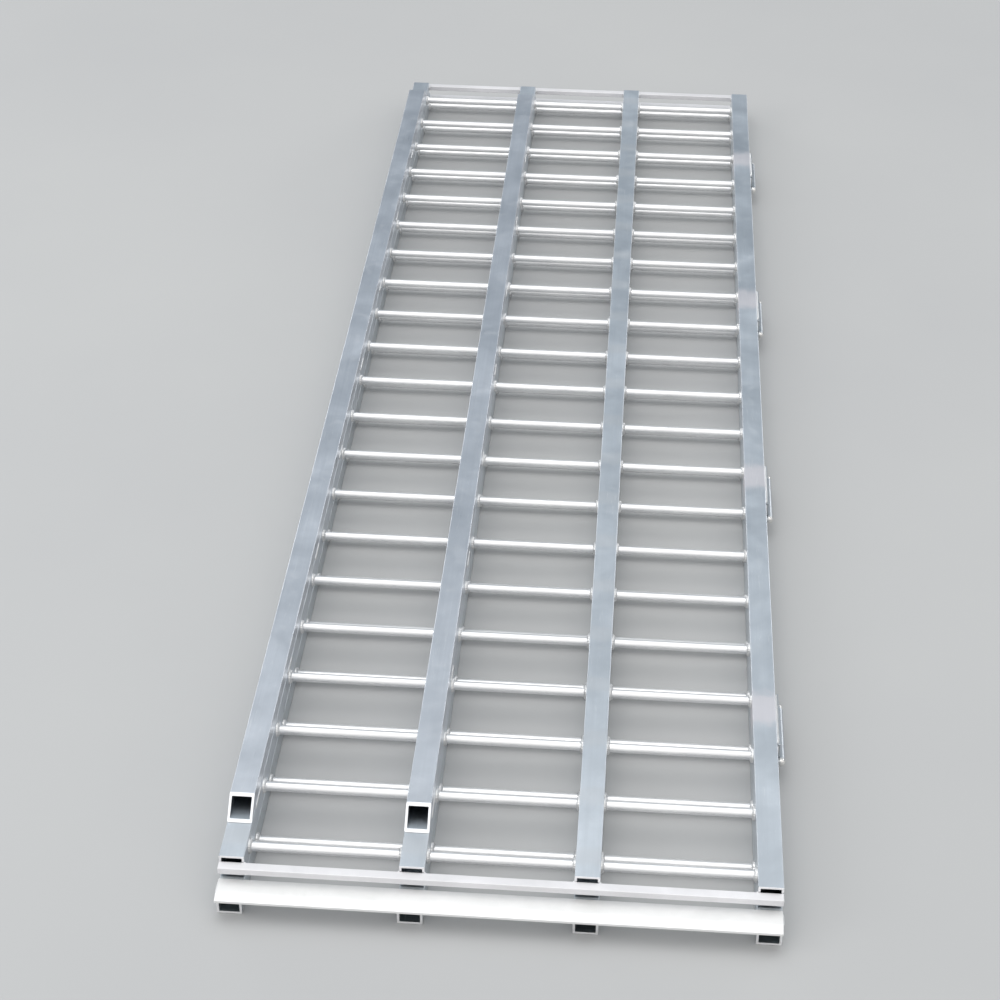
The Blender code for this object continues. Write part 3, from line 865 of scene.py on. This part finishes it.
def add_cap(i):
    """The domed cap over the pin's far end, with a blind bore."""
    node = "hinge_%d_pin_cap" % i
    near, far = (corner.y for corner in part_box(node))
    bore, floor_y = SHANK_R + FIT, near + 0.0032
    profile = dome(near, far - near) + [(bore, near), (bore, floor_y), (0.0, floor_y)]
    add_steel(node + "_dome", turned_shape(PIN_ORIGIN, profile, Y_AXIS), node)


lower_hinge_welds, upper_hinge_welds = bmesh.new(), bmesh.new()
for i in HINGES:
    weld_leaf(lower_hinge_welds, i, -1, add_leaf(i, "lower", LOWER))
    weld_leaf(upper_hinge_welds, i, 1, add_leaf(i, "upper", UPPER))
    add_pin(i)
    add_washer(i, "near")
    add_washer(i, "far")
    add_cap(i)
add_welds("lower_hinge_welds", lower_hinge_welds, LOWER, "hinge")
add_welds("upper_hinge_welds", upper_hinge_welds, UPPER, "hinge")


# --------------------------------------------------------------------- studio
def floor_paint():
    """Matt grey with faint, broad mottling."""
    material = bpy.data.materials.new("studio_floor_paint")
    material.use_nodes = True
    tree = ShaderTree(material.node_tree)
    shader = material.node_tree.nodes["Principled BSDF"]
    mottle = tree.noise(tree.coordinate("Object"), scale=1.3)
    tree.put(shader.inputs["Base Color"],
             tree.mix(tree.remap(mottle, span=(0.3, 0.7)),
                      (0.455, 0.460, 0.465), (0.48, 0.485, 0.485)))
    shader.inputs["Roughness"].default_value = 0.75
    return material


def add_floor():
    shape = bmesh.new()
    bmesh.ops.create_grid(shape, x_segments=1, y_segments=1, size=30.0)
    mesh = bpy.data.meshes.new("studio_floor")
    shape.to_mesh(mesh)
    shape.free()
    floor = add_object("studio_floor", mesh)
    floor.location.z = LOW_Z[0] - 0.0004
    mesh.materials.append(floor_paint())


# sky brightness: (sine of the elevation, colour)
SKY_BEYOND = ((-1.0, (0.30, 0.30, 0.31)), (0.0, (0.33, 0.35, 0.37)),
              (0.42, (0.36, 0.40, 0.44)), (0.545, (0.40, 0.46, 0.52)),
              (0.63, (0.46, 0.52, 0.58)), (0.72, (0.94, 0.98, 1.00)),
              (0.87, (1.15, 1.16, 1.16)), (1.0, (1.20, 1.20, 1.19)))
SKY_BEHIND = ((-1.0, (0.30, 0.30, 0.30)), (0.0, (0.55, 0.55, 0.55)),
              (0.25, (1.05, 1.04, 1.03)), (0.5, (1.22, 1.21, 1.20)),
              (1.0, (1.20, 1.20, 1.19)))


def sky(tree, elevation, stops):
    node = tree.new("ShaderNodeValToRGB")
    ramp = node.color_ramp
    ramp.interpolation = "LINEAR"
    while len(ramp.elements) < len(stops):
        ramp.elements.new(0.5)
    for element, (sine, colour) in zip(ramp.elements, stops):
        element.position = (sine + 1) / 2
        element.color = (*colour, 1.0)
    tree.put(node.inputs[0], tree.remap(elevation, span=(-1.0, 1.0)))
    return node.outputs[0]


def add_world():
    """A sky that is darker low down beyond the ramp than behind the camera."""
    world = bpy.data.worlds.new("studio")
    scene.world = world
    world.use_nodes = True
    tree = ShaderTree(world.node_tree)
    background = world.node_tree.nodes["Background"]
    axes = tree.new("ShaderNodeSeparateXYZ", {0: tree.coordinate("Generated")}).outputs
    beyond = sky(tree, axes["Z"], SKY_BEYOND)
    behind = sky(tree, axes["Z"], SKY_BEHIND)
    blend = tree.remap(axes["Y"], span=(-0.3, 0.3), smooth=True)
    tree.put(background.inputs["Color"], tree.mix(blend, behind, beyond))
    background.inputs["Strength"].default_value = 0.95


def softbox(name, place, size, power, target=(0, 0, 0), colour=(1.0, 1.0, 1.0)):
    light = bpy.data.lights.new(name, "AREA")
    light.shape = "RECTANGLE"
    light.size, light.size_y = size
    light.energy = power
    light.color = colour
    lamp = add_object(name, light)
    lamp.location = place
    aim = Vector(target) - Vector(place)
    lamp.rotation_euler = aim.to_track_quat("-Z", "Y").to_euler()


add_floor()
add_world()
softbox("overhead_box", place=(-0.3, -0.6, 3.6), size=(2.6, 2.6), power=32.0)
softbox("left_box", place=(-3.0, -1.4, 2.0), size=(1.4, 1.4), power=16.0,
        colour=(0.96, 0.98, 1.0))
# low boxes beyond the ramp pick out the tubes' rounded edges
for tag, side in (("left", -1), ("right", 1)):
    softbox("edge_box_" + tag, place=(side * 3.4, 3.6, 1.0), size=(2.2, 1.5), power=30.0,
            target=(0, 0, 0.05))

# --------------------------------------------------------------------- camera
VIEW_POINT = Vector((0.1105, -1.5108, 1.6438))  # from the near end's middle
VIEW_YAW = math.radians(-3.765)                 # to the right of +Y
VIEW_PITCH = math.radians(31.458)               # downwards
VIEW_ROLL = math.radians(0.5)
SENSOR_MM, LENS_MM = 36.0, 78.42816
SHIFT_X, SHIFT_Y = -0.013875, -0.19055          # in sensor widths


def add_camera():
    near_middle = Vector((MID_X, LOW_Y[0], LOW_Z[0]))
    ahead = Vector((math.sin(VIEW_YAW) * math.cos(VIEW_PITCH),
                    math.cos(VIEW_YAW) * math.cos(VIEW_PITCH), -math.sin(VIEW_PITCH)))
    level = Vector((math.cos(VIEW_YAW), -math.sin(VIEW_YAW), 0.0))
    upright = level.cross(ahead)
    cosine, sine = math.cos(VIEW_ROLL), math.sin(VIEW_ROLL)
    right = level * cosine + upright * sine
    upward = upright * cosine - level * sine
    data = bpy.data.cameras.new("view")
    data.sensor_width = SENSOR_MM
    data.lens = LENS_MM
    data.shift_x = SHIFT_X
    data.shift_y = SHIFT_Y
    data.clip_start = 0.05
    camera = add_object("view", data)
    camera.matrix_world = Matrix.Translation(near_middle + VIEW_POINT) @ Matrix(
        (right, upward, -ahead)).transposed().to_4x4()
    scene.camera = camera


add_camera()
scene.view_settings.view_transform = "Standard"

bpy.context.view_layer.update()
